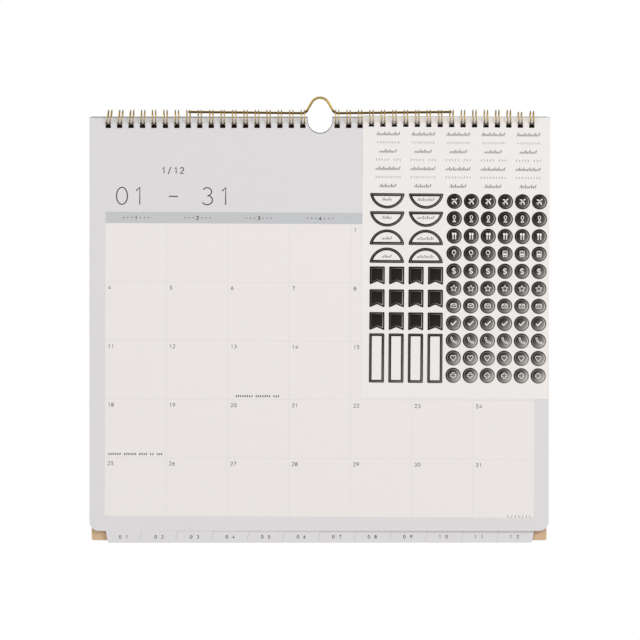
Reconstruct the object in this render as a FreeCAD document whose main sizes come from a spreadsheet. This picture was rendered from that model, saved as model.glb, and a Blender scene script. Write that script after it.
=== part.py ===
import FreeCAD, Part
import math
import os
import re

import Sketcher

# Wall calendar that hangs from one nail. The origin is the inside top of the hanger's eye, where the nail
# bears. X runs across the calendar, Y runs from front to back and Z points up. Lengths are in millimetres.

doc = FreeCAD.newDocument("WallCalendar")

# Driving dimensions

SIZES = {
    "hole_pitch": (8.4667, "three holes to the inch"),
    "holes_per_side": (18, "loops on each side of the notch"),
    "missing_holes": (2, "hole places left out at the notch"),
    "hole_size": (4.0, "side of a square hole"),
    "hole_margin": (4.1, "paper between a hole and the top edge"),
    "wire_side": (0.84, "thickness of the binding wire"),
    "twin_spacing": (2.35, "between the two wires of a loop"),
    "loop_radius": (5.1, "from the rings' axis to the middle of the binding wire"),
    "loop_sides": (10, "straight lengths that make up a ring's curve"),
    "root_corner": (0.6, "bend between a loop and the root beside it"),
    "seam_clearance": (0.15, "between the loops' tips and their roots"),
    "hang_clearance": (0.03, "between a hole's edge and the wire it hangs on"),
    "page_width": (339.7, "width of the month leaves"),
    "page_height": (306.0, "height of a leaf without its tab"),
    "leaf_count": (12, "month leaves"),
    "leaf_thickness": (0.22, "thickness of a month leaf"),
    "leaf_corner": (7.0, "radius of a leaf's lower corners"),
    "tab_pitch": (26.4, "between neighbouring month tabs"),
    "tab_height": (8.85, "how far a tab hangs below its leaf"),
    "tab_slant": (1.6, "how far a tab's side leans in over its height"),
    "tab_corner": (1.5, "radius of a tab's lower corners"),
    "tab_overlap": (1.0, "how far a tab runs up into its leaf"),
    "tab_under": (4.0, "how far a tab reaches in behind the tab before it"),
    "punch_shift": (0.7, "how far the holes and the notch sit to the right of a leaf's middle"),
    "board_inset": (1.45, "how far the board stands in from each side of the leaves"),
    "board_short": (1.2, "how much shorter the board is than a leaf with its tab"),
    "board_thickness": (0.8, "thickness of the backing board"),
    "board_corner": (1.5, "radius of the board's lower corners"),
    "slot_height": (1.75, "height of the board's slots for the rings"),
    "seam_gap": (1.2, "room between the last leaf and the board for the binding's roots"),
    "stack_front": (-2.1, "front face of the sticker sheet from the rings' axis"),
    "sheet_gap": (0.05, "between the sticker sheet and the first leaf"),
    "notch_radius": (8.95, "round end of the thumb notch"),
    "notch_centre": (3.0, "from a leaf's top edge to the centre of the notch"),
    "sticker_width": (138.5, "width of the sticker sheet"),
    "sticker_height": (208.6, "height of the sticker sheet"),
    "sticker_thickness": (0.2, "thickness of the sticker sheet"),
    "sticker_holes": (15, "loops that hold the sticker sheet"),
    "sticker_margin": (6.3, "from the sheet's left edge to its first hole"),
    "sticker_tilt": (0.45, "degrees that the sheet hangs out of square"),
    "foil_thickness": (0.1, "thickness of one sticker"),
    "round_diameter": (11.3, "diameter of a round sticker"),
    "round_sides": (15, "sides that make up a round sticker's edge"),
    "round_left": (68.1, "from the sheet's left edge to the first column of round stickers"),
    "round_top": (62.8, "from the sheet's top edge to the first row of round stickers"),
    "round_column": (12.59, "between columns of round stickers"),
    "round_row": (12.87, "between rows of round stickers"),
    "round_columns": (6, "round stickers in a row"),
    "half_radius": (13.0, "curve of a half-round sticker"),
    "half_height": (11.35, "from a half-round sticker's straight side to its far side"),
    "half_left": (18.45, "from the sheet's left edge to the first half-round stickers"),
    "half_top": (57.2, "from the sheet's top edge to the first half-round stickers"),
    "half_column": (28.7, "between columns of half-round stickers"),
    "half_row": (13.4, "between rows of half-round stickers"),
    "banner_width": (11.2, "width of a banner or box sticker"),
    "banner_height": (13.2, "height of a banner sticker"),
    "banner_notch": (2.1, "depth of the notch in a banner's tail"),
    "banner_left": (11.45, "from the sheet's left edge to the first banner and box"),
    "banner_top": (111.4, "from the sheet's top edge to the first banners"),
    "banner_column": (14.37, "between columns of banners and boxes"),
    "banner_row": (16.9, "between rows of banners"),
    "banner_columns": (4, "banners in a row"),
    "banner_rows": (3, "rows of banners"),
    "box_top": (160.9, "from the sheet's top edge to the box stickers"),
    "box_height": (36.4, "height of a box sticker"),
    "eye_height": (13.5, "from the rings' axis to the inside top of the hanger's eye"),
    "eye_radius": (7.0, "bend of the hanger's eye, at the middle of its wire"),
    "leg_angle": (60.0, "degrees between the eye's legs and the arms"),
    "foot_radius": (4.0, "bend between a leg and its arm"),
    "hanger_wire": (1.65, "diameter of the hanger's wire"),
    "hanger_length": (195.0, "length of the hanger from end to end"),
    "arm_clearance": (0.08, "between the end of an arm and the rings"),
    "arm_dip": (0.9, "how far an arm drops from its end to its foot"),
    "hanger_sides": (8, "sides of the hanger wire's section"),
    "eye_sides": (9, "straight lengths that make up the eye's bend"),
    "foot_sides": (3, "straight lengths that make up a foot's bend"),
}

sheet = doc.addObject("Spreadsheet::Sheet", "Sizes")
for row, (alias, (value, note)) in enumerate(SIZES.items(), start=1):
    sheet.set(f"A{row}", alias)
    sheet.set(f"B{row}", str(value))
    sheet.set(f"C{row}", note)
    sheet.setAlias(f"B{row}", alias)
doc.recompute()


def size(alias):
    """A driving dimension as a number."""
    return float(sheet.get(alias))


def bound(text):
    """The same dimensions inside an expression: every alias in the text is looked up in the sheet."""
    return re.sub("[a-z_]+", lambda word: f"Sizes.{word[0]}" if word[0] in SIZES else word[0], text)


def worth(text):
    """What an expression of the driving dimensions comes to."""
    return float(sheet.evalExpression(bound(text)))


# Places that several pieces share, as expressions of the driving dimensions

RING_INSIDE = "(loop_radius - wire_side / 2)"
PAGES_FRONT = "( stack_front + sticker_thickness + sheet_gap )"
PAGES_BACK = f"( {PAGES_FRONT} + leaf_count * leaf_thickness )"
BOARD_FRONT = f"( {PAGES_BACK} + seam_gap )"
BOARD_BACK = f"( {BOARD_FRONT} + board_thickness )"
FIRST_HOLE = "( ( 2 * holes_per_side + missing_holes - 1 ) / 2 * hole_pitch )"
STICKER_FIRST = f"( {FIRST_HOLE} - ( sticker_holes - 1 ) * hole_pitch )"
LEAF_LEFT = "( -1 * page_width / 2 - punch_shift )"
LEAF_RIGHT = "( page_width / 2 - punch_shift )"
BOARD_HEIGHT = "( page_height + tab_height - board_short )"


def hung_top(face):
    """Height of a sheet's top edge when its holes hang on the rings, from the face that bears on the wire."""
    bearing = f"sqrt({RING_INSIDE} ^ 2 - {face} ^ 2)"
    return f"( hang_clearance + hole_margin - eye_height - {bearing} )"


# Sketch helpers

def plane_of(body, role):
    """One of a body's own origin planes."""
    return next(item for item in body.Origin.OriginFeatures if item.Role == role)


def fix_point(sketch, geometry, end, across, up):
    """Hold one end of a line or arc at a place given by two expressions."""
    point = sketch.getPoint(geometry, end)
    for kind, start, place in (("DistanceX", point.x, across), ("DistanceY", point.y, up)):
        index = sketch.addConstraint(Sketcher.Constraint(kind, -1, 1, geometry, end, start))
        sketch.setExpression(f"Constraints[{index}]", bound(place))


def draw_polygon(sketch, corners):
    """A closed outline through corners, each a pair of expressions."""
    count = len(corners)
    rough = [FreeCAD.Vector(math.cos(2 * math.pi * k / count), math.sin(2 * math.pi * k / count), 0)
             for k in range(count)]
    first = sketch.GeometryCount
    for k in range(count):
        sketch.addGeometry(Part.LineSegment(rough[k], rough[(k + 1) % count]), False)
    for k in range(count):
        sketch.addConstraint(Sketcher.Constraint("Coincident", first + k, 2, first + (k + 1) % count, 1))
    for k, (across, up) in enumerate(corners):
        fix_point(sketch, first + k, 1, across, up)


def draw_circle(sketch, across, up, radius):
    """A circle whose centre and radius are expressions."""
    circle = Part.Circle(FreeCAD.Vector(1, 1, 0), FreeCAD.Vector(0, 0, 1), 1)
    geometry = sketch.addGeometry(circle, False)
    fix_point(sketch, geometry, 3, across, up)
    index = sketch.addConstraint(Sketcher.Constraint("Radius", geometry, 1.0))
    sketch.setExpression(f"Constraints[{index}]", bound(radius))


def draw_box(sketch, left, right, low, high):
    """A rectangle between four expressions."""
    draw_polygon(sketch, [(left, low), (right, low), (right, high), (left, high)])


def new_body(label):
    """A body for one sheet: its local origin is the middle of the sheet's top edge, at its front face."""
    body = doc.addObject("PartDesign::Body", label)
    body.Label = label
    return body


def face_sketch(body, name, depth="0"):
    """A sketch that faces the viewer, at a depth behind the sheet's front face."""
    sketch = body.newObject("Sketcher::SketchObject", name)
    sketch.AttachmentSupport = [(plane_of(body, "XZ_Plane"), "")]
    sketch.MapMode = "FlatFace"
    sketch.setExpression("AttachmentOffset.Base.z", bound(f"-1 * ( {depth} )"))
    return sketch


def pad(body, sketch, thickness):
    """Give a sketch its thickness, away from the viewer."""
    feature = body.newObject("PartDesign::Pad", f"{sketch.Name}_pad")
    feature.Profile = sketch
    feature.Reversed = True
    feature.setExpression("Length", bound(thickness))
    body.Tip = feature
    return feature


def cut(body, sketch):
    """Cut a sketch right through a sheet."""
    feature = body.newObject("PartDesign::Pocket", f"{sketch.Name}_cut")
    feature.Profile = sketch
    feature.Type = "ThroughAll"
    feature.Midplane = True
    body.Tip = feature
    return feature


def punch(body, name, first, count, height):
    """A row of binding holes, from the place of the first one towards +X."""
    sketch = face_sketch(body, name)
    half = "hole_size / 2"
    draw_box(sketch, f"{first} - {half}", f"{first} + {half}", f"-1 * ( hole_margin + {height} )", "-1 * hole_margin")
    hole = cut(body, sketch)
    row = body.newObject("PartDesign::LinearPattern", f"{name}_row")
    row.Originals = [hole]
    row.Direction = (sketch, ["H_Axis"])
    row.setExpression("Length", bound(f"( {count} - 1 ) * hole_pitch"))
    row.setExpression("Occurrences", bound(count))
    body.Tip = row


def punch_both_sides(body, height="hole_size"):
    """The holes left and right of the thumb notch."""
    punch(body, f"{body.Name}_holes_left", f"-1 * {FIRST_HOLE}", "holes_per_side", height)
    first_right = "( missing_holes + 1 ) / 2 * hole_pitch"
    punch(body, f"{body.Name}_holes_right", first_right, "holes_per_side", height)


def cut_notch(body):
    """The thumb notch that leaves room for the nail: straight sides down to a round end."""
    round_end = face_sketch(body, f"{body.Name}_notch_round")
    draw_circle(round_end, "0", "-1 * notch_centre", "notch_radius")
    cut(body, round_end)
    straight = face_sketch(body, f"{body.Name}_notch_sides")
    draw_box(straight, "-1 * notch_radius", "notch_radius", "-1 * notch_centre", "notch_radius")
    cut(body, straight)


def round_edges(body, radius, chosen):
    """Round the edges along Y whose ends pass a test of their place."""
    doc.recompute()
    base = body.Tip
    names = [f"Edge{k}" for k, edge in enumerate(base.Shape.Edges, start=1)
             if len(edge.Vertexes) == 2
             and abs(edge.tangentAt(edge.FirstParameter).y) > 0.999
             and chosen(edge.Vertexes[0].Point)]
    feature = body.newObject("PartDesign::Fillet", f"{body.Name}_corners_{len(body.Group)}")
    feature.Base = (base, names)
    feature.setExpression("Radius", bound(radius))
    body.Tip = feature


def place(body, across, depth, height):
    """Put a sheet where the rings hold it."""
    body.setExpression("Placement.Base.x", bound(across))
    body.setExpression("Placement.Base.y", bound(depth))
    body.setExpression("Placement.Base.z", bound(height))


# Backing board: kraft card behind the leaves

def backing_board():
    body = new_body("backing_board")
    outline = face_sketch(body, "board_outline")
    draw_box(outline, f"{LEAF_LEFT} + board_inset", f"{LEAF_RIGHT} - board_inset", f"-1 * {BOARD_HEIGHT}", "0")
    pad(body, outline, "board_thickness")
    height = worth(BOARD_HEIGHT)
    round_edges(body, "board_corner", lambda point: abs(point.z + height) < 0.01)
    punch_both_sides(body, "slot_height")
    cut_notch(body)
    place(body, "0", BOARD_FRONT, hung_top(BOARD_BACK))
    return body


# Month pages: twelve leaves bound as one block, each with its own tab one leaf further back

TAB_CORNER_SIDES = 2


def tab_outline(index):
    """Corners of one tab, whose lower corners are rounded by short sides."""
    left = f"( {index} - leaf_count / 2 ) * tab_pitch"
    right = f"{left} + tab_pitch"
    if index > 0:
        left += " - tab_under"
    top = "-1 * ( page_height - tab_overlap )"
    root = "-1 * page_height"
    lean = "atan(tab_slant / tab_height)"
    inset = f"tab_slant + tab_corner / tan(45deg + {lean} / 2)"
    centre = "tab_corner - ( page_height + tab_height )"
    lower_left = []
    lower_right = []
    for k in range(TAB_CORNER_SIDES + 1):
        turn = f"( {k} / {TAB_CORNER_SIDES} * (90deg - {lean}) )"
        height = f"{centre} - tab_corner * cos{turn}"
        lower_left.insert(0, (f"{left} + {inset} - tab_corner * sin{turn}", height))
        lower_right.append((f"{right} - ({inset}) + tab_corner * sin{turn}", height))
    return [(left, top), (left, root), *lower_left, *lower_right, (right, root), (right, top)]


def month_pages():
    body = new_body("month_pages")
    outline = face_sketch(body, "leaf_outline")
    draw_box(outline, LEAF_LEFT, LEAF_RIGHT, "-1 * page_height", "0")
    pad(body, outline, "leaf_count * leaf_thickness")
    height = size("page_height")
    round_edges(body, "leaf_corner", lambda point: abs(point.z + height) < 0.01)
    for index in range(int(size("leaf_count"))):
        sketch = face_sketch(body, f"tab_{index + 1:02d}", f"{index} * leaf_thickness")
        draw_polygon(sketch, tab_outline(index))
        pad(body, sketch, "leaf_thickness")
    punch_both_sides(body)
    cut_notch(body)
    place(body, "0", PAGES_FRONT, hung_top(PAGES_FRONT))
    return body


# Sticker sheet: the first sheet, held by the loops at the right

STICKER_CENTRE = f"( {STICKER_FIRST} - sticker_margin + sticker_width / 2 )"
LAST_HOLE = "( sticker_margin - sticker_width / 2 + ( sticker_holes - 1 ) * hole_pitch + hole_size / 2 )"
STICKER_TOP = f"( {hung_top('stack_front')} + {LAST_HOLE} * sin(sticker_tilt * 1deg) )"


def hang_with_sheet(piece, depth):
    """Place a piece of the sticker sheet: it turns with the sheet about the middle of its top edge."""
    piece.Placement.Rotation = FreeCAD.Rotation(FreeCAD.Vector(0, 1, 0), size("sticker_tilt"))
    place(piece, STICKER_CENTRE, depth, STICKER_TOP)
    piece.setExpression("Placement.Rotation.Angle", bound("sticker_tilt * 1deg"))


def sticker_sheet():
    body = new_body("sticker_sheet")
    outline = face_sketch(body, "sheet_outline")
    draw_box(outline, "-1 * sticker_width / 2", "sticker_width / 2", "-1 * sticker_height", "0")
    pad(body, outline, "sticker_thickness")
    punch(body, "sheet_holes", "( sticker_margin - sticker_width / 2 )", "sticker_holes", "hole_size")
    hang_with_sheet(body, "stack_front")
    return body


# Foil stickers: each kind is one group of separate pieces on the face of the sticker sheet

ROUND_ROWS = [
    ["plane"], ["key"], ["cutlery"], ["balloon", "bus"], ["coin"], ["star"],
    ["envelope"], ["check"], ["phone"], ["heart"], ["cross"],
]


def foil_body(label):
    body = new_body(label)
    sketch = face_sketch(body, f"{label}_outline")
    hang_with_sheet(body, "stack_front - foil_thickness")
    return body, sketch


def round_sticker(name, column, row):
    """One round sticker, with its edge made of many short sides."""
    disc = doc.addObject("Part::Prism", name)
    disc.setExpression("Polygon", bound("round_sides"))
    disc.setExpression("Circumradius", bound("round_diameter / 2"))
    disc.setExpression("Height", bound("foil_thickness"))
    disc.Placement.Rotation = FreeCAD.Rotation(FreeCAD.Vector(1, 0, 0), -90)
    across = f"round_left - sticker_width / 2 + {column} * round_column"
    place(disc, across, "0", f"-1 * ( round_top + {row} * round_row )")
    return disc


def round_stickers():
    """One group for each picture. Two pictures in a row share its columns."""
    groups = []
    columns = int(size("round_columns"))
    for row, pictures in enumerate(ROUND_ROWS):
        share = columns // len(pictures)
        for k, picture in enumerate(pictures):
            group = doc.addObject("Part::Compound", f"{picture}_stickers")
            group.Label = f"{picture}_stickers"
            group.Links = [round_sticker(f"{picture}_{column + 1}", column, row)
                           for column in range(k * share, (k + 1) * share)]
            hang_with_sheet(group, "stack_front - foil_thickness")
            groups.append(group)
    return groups


def draw_half_round(sketch, across, straight, towards):
    """A straight side and the arc on one side of it: towards is 1 above the side and -1 below it."""
    radius = size("half_radius")
    rise = radius - size("half_height")
    reach = math.sqrt(radius ** 2 - rise ** 2)
    middle = FreeCAD.Vector(worth(across), worth(straight), 0)
    tip = middle + FreeCAD.Vector(0, towards * size("half_height"), 0)
    ends = [middle + FreeCAD.Vector(-reach, 0, 0), middle + FreeCAD.Vector(reach, 0, 0)]
    side = sketch.addGeometry(Part.LineSegment(*ends), False)
    curve = sketch.addGeometry(Part.Arc(ends[0], tip, ends[1]), False)
    first, second = (1, 2) if sketch.getPoint(curve, 1).distanceToPoint(ends[0]) < 0.01 else (2, 1)
    sketch.addConstraint(Sketcher.Constraint("Coincident", side, 1, curve, first))
    sketch.addConstraint(Sketcher.Constraint("Coincident", side, 2, curve, second))
    half_side = "sqrt(half_radius ^ 2 - (half_radius - half_height) ^ 2)"
    fix_point(sketch, side, 1, f"{across} - {half_side}", straight)
    sketch.addConstraint(Sketcher.Constraint("Horizontal", side))
    fix_point(sketch, curve, 3, across, f"{straight} - {towards} * (half_radius - half_height)")


def half_round_stickers():
    """Two rows with the straight side up above two rows with it down."""
    body, sketch = foil_body("half_round_stickers")
    for row in range(4):
        straight = f"-1 * ( half_top + {row} * half_row )"
        towards = -1
        if row >= 2:
            straight += " - half_height"
            towards = 1
        for column in range(2):
            across = f"half_left - sticker_width / 2 + {column} * half_column"
            draw_half_round(sketch, across, straight, towards)
    pad(body, sketch, "foil_thickness")
    return body


def banner_stickers():
    body, sketch = foil_body("banner_stickers")
    for row in range(int(size("banner_rows"))):
        top = f"-1 * ( banner_top + {row} * banner_row )"
        low = f"{top} - banner_height"
        for column in range(int(size("banner_columns"))):
            middle = f"banner_left - sticker_width / 2 + {column} * banner_column"
            left = f"{middle} - banner_width / 2"
            right = f"{middle} + banner_width / 2"
            draw_polygon(sketch, [
                (left, top), (left, low), (middle, f"{low} + banner_notch"), (right, low), (right, top),
            ])
    pad(body, sketch, "foil_thickness")
    return body


def box_stickers():
    body, sketch = foil_body("box_stickers")
    for column in range(int(size("banner_columns"))):
        middle = f"banner_left - sticker_width / 2 + {column} * banner_column"
        low = "-1 * ( box_top + box_height )"
        draw_box(sketch, f"{middle} - banner_width / 2", f"{middle} + banner_width / 2", low, "-1 * box_top")
    pad(body, sketch, "foil_thickness")
    return body


# Binding wires: a comb of twin loops on each side, with its roots and tips meeting in the seam gap

def mitred_wire(path, outward, thickness, sides):
    """A closed solid of polygonal section along straight lengths that meet in mitres."""
    heading = [(path[k + 1] - path[k]).normalize() for k in range(len(path) - 1)]
    along = outward.cross(heading[0])
    rim = thickness / 2 / math.cos(math.pi / sides)
    corners = [(k + 0.5) * 2 * math.pi / sides for k in range(sides)]
    section = [path[0] + outward * rim * math.cos(turn) + along * rim * math.sin(turn) for turn in corners]
    faces = [Part.Face(Part.makePolygon(section + [section[0]]))]
    for k, direction in enumerate(heading):
        last = k == len(heading) - 1
        mitre = direction if last else direction + heading[k + 1]
        moved = [p + direction * (mitre.dot(path[k + 1] - p) / mitre.dot(direction)) for p in section]
        for a in range(sides):
            b = (a + 1) % sides
            faces.append(Part.Face(Part.makePolygon([section[a], section[b], moved[b], moved[a], section[a]])))
        section = moved
    faces.append(Part.Face(Part.makePolygon(section + [section[0]])))
    solid = Part.Solid(Part.Shell(faces))
    if solid.Volume < 0:
        solid.reverse()
    return solid


def binding_wire(label, first_x):
    """One comb. A turn of 0 is straight below the rings' axis, and it grows towards the back."""
    pitch = size("hole_pitch")
    half_twin = size("twin_spacing") / 2
    radius = size("loop_radius")
    corner = size("root_corner")
    half_wire = size("wire_side") / 2
    pages_back = size("stack_front") + size("sticker_thickness") + size("sheet_gap")
    pages_back += size("leaf_count") * size("leaf_thickness")
    seam_middle = pages_back + size("seam_gap") / 2
    root = math.asin(seam_middle / radius)
    tip_end = math.asin((seam_middle - 2 * half_wire - size("seam_clearance")) / radius)
    tip_start = 2 * math.pi + tip_end - half_twin / radius
    ring_start = root + corner / radius
    sides = int(size("loop_sides"))
    step = (tip_start - ring_start) / sides
    rim = radius / math.cos(step / 2)

    def at(x, turn, distance=radius):
        return FreeCAD.Vector(x, distance * math.sin(turn), -distance * math.cos(turn))

    path = []
    for index in range(int(size("holes_per_side"))):
        middle = first_x + index * pitch
        left = middle - half_twin
        right = middle + half_twin
        if index == 0:
            path.append(at(left - 2 * corner, root))
        path.append(at(left - corner, root))
        turns = [ring_start + k * step for k in range(sides + 1)]
        path += [at(left, turn, rim) for turn in turns]
        bow = half_twin * math.sin(math.pi / 3) / radius
        path += [at(middle - half_twin / 2, tip_start + bow), at(middle + half_twin / 2, tip_start + bow)]
        path += [at(right, turn, rim) for turn in reversed(turns)]
        path.append(at(right + corner, root))
    path.append(at(right + 2 * corner, root))

    comb = doc.addObject("Part::Feature", label)
    comb.Label = label
    comb.Shape = mitred_wire(path, at(0, root, 1), size("wire_side"), 4)
    comb.setExpression("Placement.Base.z", bound("-1 * eye_height"))
    return comb


# Hanger: one bent wire, with an eye for the nail and two arms inside the rings

def bend(centre, radius, start, end, sides):
    """Corners of a bend made of straight lengths: a turn of 0 points up, and it grows towards +X."""
    step = (end - start) / sides
    rim = radius / math.cos(step / 2)
    turns = [start + k * step for k in range(sides + 1)]
    return [(centre[0] + rim * math.sin(turn), centre[1] + rim * math.cos(turn)) for turn in turns]


def hanger():
    wire = size("hanger_wire") / 2
    end_height = size("loop_radius") - size("wire_side") / 2 - size("arm_clearance") - wire - size("eye_height")
    foot_height = end_height - size("arm_dip")
    arm_end = (size("hanger_length") / 2, end_height)
    leg = math.radians(size("leg_angle"))
    eye = size("eye_radius")
    foot = size("foot_radius")
    eye_centre = (0, wire - eye)
    leg_top = (eye * math.sin(leg), eye_centre[1] + eye * math.cos(leg))
    leg_drop = leg_top[1] - foot_height - foot * (1 - math.cos(leg))
    leg_foot = (leg_top[0] + leg_drop / math.tan(leg), leg_top[1] - leg_drop)
    foot_centre = (leg_foot[0] + foot * math.sin(leg), leg_foot[1] + foot * math.cos(leg))
    away = (arm_end[0] - foot_centre[0], arm_end[1] - foot_centre[1])
    lean = math.atan2(away[1], away[0]) + math.asin(foot / math.hypot(*away))
    right = bend(foot_centre, foot, math.pi + leg, math.pi - lean, int(size("foot_sides"))) + [arm_end]
    left = [(-x, z) for x, z in reversed(right)]
    middle = bend(eye_centre, eye, -leg, leg, int(size("eye_sides")))
    path = [FreeCAD.Vector(x, 0, z) for x, z in left + middle + right]
    start = (path[1] - path[0]).normalize()
    piece = doc.addObject("Part::Feature", "hanger")
    piece.Label = "hanger"
    upward = FreeCAD.Vector(-start.z, 0, start.x)
    piece.Shape = mitred_wire(path, upward, size("hanger_wire"), int(size("hanger_sides")))
    return piece


first_left = -size("hole_pitch") * (2 * size("holes_per_side") + size("missing_holes") - 1) / 2
first_right = size("hole_pitch") * (size("missing_holes") + 1) / 2

nodes = [
    hanger(),
    binding_wire("binding_wire_left", first_left),
    binding_wire("binding_wire_right", first_right),
    backing_board(),
    month_pages(),
    sticker_sheet(),
    half_round_stickers(),
    banner_stickers(),
    box_stickers(),
    *round_stickers(),
]

doc.recompute()
for item in doc.Objects:
    if "Invalid" in item.State or "Error" in item.State:
        raise RuntimeError(f"{item.Name} failed: {item.State}")
os.makedirs("parts", exist_ok=True)
for node in nodes:
    if node.Shape.isNull() or not node.Shape.isValid():
        raise RuntimeError(f"{node.Label} has no valid shape")
    node.Shape.exportStep(f"parts/{node.Label}.step")
    box = node.Shape.BoundBox
    print(node.Label, len(node.Shape.Solids), "solids", round(node.Shape.Volume, 2), "mm3", box)
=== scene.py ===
import math
from collections import namedtuple

import bmesh
import bpy
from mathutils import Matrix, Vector

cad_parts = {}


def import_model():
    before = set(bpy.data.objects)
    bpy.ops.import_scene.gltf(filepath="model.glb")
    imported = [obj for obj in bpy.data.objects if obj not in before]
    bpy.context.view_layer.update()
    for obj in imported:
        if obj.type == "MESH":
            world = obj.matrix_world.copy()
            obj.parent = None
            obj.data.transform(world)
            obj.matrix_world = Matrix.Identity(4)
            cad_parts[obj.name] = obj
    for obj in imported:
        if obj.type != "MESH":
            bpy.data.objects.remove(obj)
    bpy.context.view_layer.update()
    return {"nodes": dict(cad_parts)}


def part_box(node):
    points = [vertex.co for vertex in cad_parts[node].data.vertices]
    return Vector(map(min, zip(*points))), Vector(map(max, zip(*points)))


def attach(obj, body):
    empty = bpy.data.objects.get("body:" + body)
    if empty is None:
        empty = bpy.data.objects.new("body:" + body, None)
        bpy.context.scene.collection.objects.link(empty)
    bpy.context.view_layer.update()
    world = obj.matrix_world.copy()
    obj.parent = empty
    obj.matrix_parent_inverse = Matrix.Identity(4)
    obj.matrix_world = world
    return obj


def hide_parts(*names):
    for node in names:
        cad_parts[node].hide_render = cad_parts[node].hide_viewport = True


# Wall calendar on a twin-loop wire binding, hung from a wire hanger. Metres, in the frame of the solids.

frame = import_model()
nodes = frame["nodes"]

MM = 0.001

# How a row of numbers or marks is printed: its height, the pitch of its signs and the width of their strokes

Print = namedtuple("Print", "height pitch stroke")

# Camera: straight on, with the width of its view at the face of the pages

VIEW_WIDTH = 473.3 * MM
VIEW_DISTANCE = 3.0
VIEW_HEIGHT = -163.7 * MM
SENSOR = 36.0

# Surroundings: the floor fades into the white surround between two distances from its middle

AMBIENT = 0.62
FLOOR_HEIGHT = -1.0
FLOOR_RADIUS = 3.6
FADE_START = 0.5
FADE_END = 2.6

# Binding

HOLE_PITCH = 8.4667 * MM
LOOPS_PER_SIDE = 18
FIRST_LEFT = -18.5 * HOLE_PITCH
FIRST_RIGHT = 1.5 * HOLE_PITCH
RING_HEIGHT = -13.5 * MM
LOOP_RADIUS = 5.1 * MM
BINDING_WIRE = 0.9 * MM
HALF_TWIN = 1.175 * MM
ROOT_CORNER = 0.6 * MM
SEAM_DEPTH = 1.39 * MM
SEAM_CLEARANCE = 0.15 * MM

# Loops bent in use, counted from the left of their comb: how far the top leans to the right, and how far
# it sags. A sag begins at a height over the ring's middle, given as a share of the ring's radius

LEFT_LEANS = {0: 1.55 * MM, 1: 1.2 * MM, 2: 0.8 * MM, 3: 0.45 * MM}
RIGHT_LEANS = {16: -0.3 * MM, 17: 0.25 * MM}
RIGHT_SAGS = {16: 1.6 * MM, 17: 0.8 * MM}
SAG_START = 0.62

# Hanger: its course is that of a wire of one thickness, and it is drawn a little thicker

HANGER_WIRE = 1.65 * MM
HANGER_LOOK = 1.85 * MM
EYE_RADIUS = 7.0 * MM
FOOT_RADIUS = 4.0 * MM
LEG_ANGLE = math.radians(60)
ARM_END = (97.5 * MM, -9.725 * MM)
ARM_DIP = 0.9 * MM
# Heights over which painted shade comes onto the underside of the arms
ARM_SHADE_START = -7.5 * MM
ARM_SHADE_FULL = -8.7 * MM

# Month leaves: the print is set out from the top left corner of the date field

PAGES_LOW, PAGES_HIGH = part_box("month_pages")
PAGES_FRONT = PAGES_LOW.y
LEAF_THICKNESS = 0.22 * MM
LEAF_BOTTOM = PAGES_HIGH.z - 306.0 * MM
LEAF_GAP = 0.03 * MM
FIELD_LEFT = -158.65 * MM
FIELD_TOP = -91.9 * MM
PRINT_FALL = math.tan(math.radians(0.27))
PRINT_LEAN = math.tan(math.radians(0.2))
COLUMN_PITCH = 45.38 * MM
ROW_PITCH = 43.34 * MM
COLUMNS = 7
ROWS = 5
BAR_HEIGHT = 8.35 * MM
GRID_LINE = 0.6 * MM
FIRST_WEEKDAY = 4
LAST_DATE = 31

TITLE = Print(12.6 * MM, 12.7 * MM, 0.85 * MM)
TITLE_LEFT = 8.1 * MM
TITLE_BASE = 13.8 * MM
MONTH = Print(4.3 * MM, 4.5 * MM, 0.7 * MM)
MONTH_LEFT = 41.6 * MM
MONTH_BASE = 36.9 * MM
WEEKDAY = Print(2.4 * MM, 3.1 * MM, 0.58 * MM)
WEEKDAY_BASE = 2.9 * MM
WEEKDAY_HALF = 10.1 * MM
DATE = Print(2.6 * MM, 2.5 * MM, 0.4 * MM)
DATE_LEFT = 2.3 * MM
DATE_DROP = 5.65 * MM

# Rows of marks on the front leaf: the middle of each, how many marks its groups have, and their print

NOTES = [
    (112.8 * MM, -127.6 * MM, (8, 7, 3), Print(1.5 * MM, 1.64 * MM, 0.75 * MM)),
    (22.7 * MM, -170.8 * MM, (6, 6, 4, 2, 3), Print(1.5 * MM, 1.62 * MM, 0.75 * MM)),
    (306.6 * MM, -215.8 * MM, (7,), Print(2.0 * MM, 2.7 * MM, 0.3 * MM)),
]

# Tabs: each has its number, and a faint painted shadow line where the leaf before it ends

TABS = 12
TAB_PITCH = 26.4 * MM
TAB_SLANT = 1.6 * MM
TAB_NUMBER = Print(2.2 * MM, 5.0 * MM, 0.46 * MM)
TAB_NUMBER_HALF = 3.2 * MM
FIRST_TAB_MARK = -145.3 * MM
TAB_MARK_PITCH = 26.28 * MM
TAB_MARK_HEIGHT = -325.2 * MM
TAB_SHADOW_LINE = 0.3 * MM
TAB_SHADOW_RISE = 0.6 * MM

# Sticker sheet: it turns a little about the middle of its top edge, and what is on it is measured from
# its top left corner

SHEET_LOW, SHEET_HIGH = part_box("sticker_sheet")
SHEET_FRONT = SHEET_LOW.y
SHEET_WIDTH = 138.5 * MM
SHEET_HEIGHT = 208.6 * MM
SHEET_TILT = math.radians(0.45)
SHEET_MIDDLE = (SHEET_LOW + SHEET_HIGH) / 2
SHEET_X = SHEET_MIDDLE.x + SHEET_HEIGHT / 2 * math.sin(SHEET_TILT)
SHEET_TOP = SHEET_MIDDLE.z + SHEET_HEIGHT / 2 * math.cos(SHEET_TILT)
FOIL = 0.1 * MM
INK_LIFT = 0.02 * MM

ROUND_RADIUS = 5.65 * MM
ROUND_LEFT = 68.1 * MM
ROUND_TOP = 62.8 * MM
ROUND_COLUMN = 12.59 * MM
ROUND_ROW = 12.87 * MM
ROUND_COLUMNS = 6
RING_RADIUS = 4.45 * MM
RING_LINE = 0.42 * MM

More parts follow.
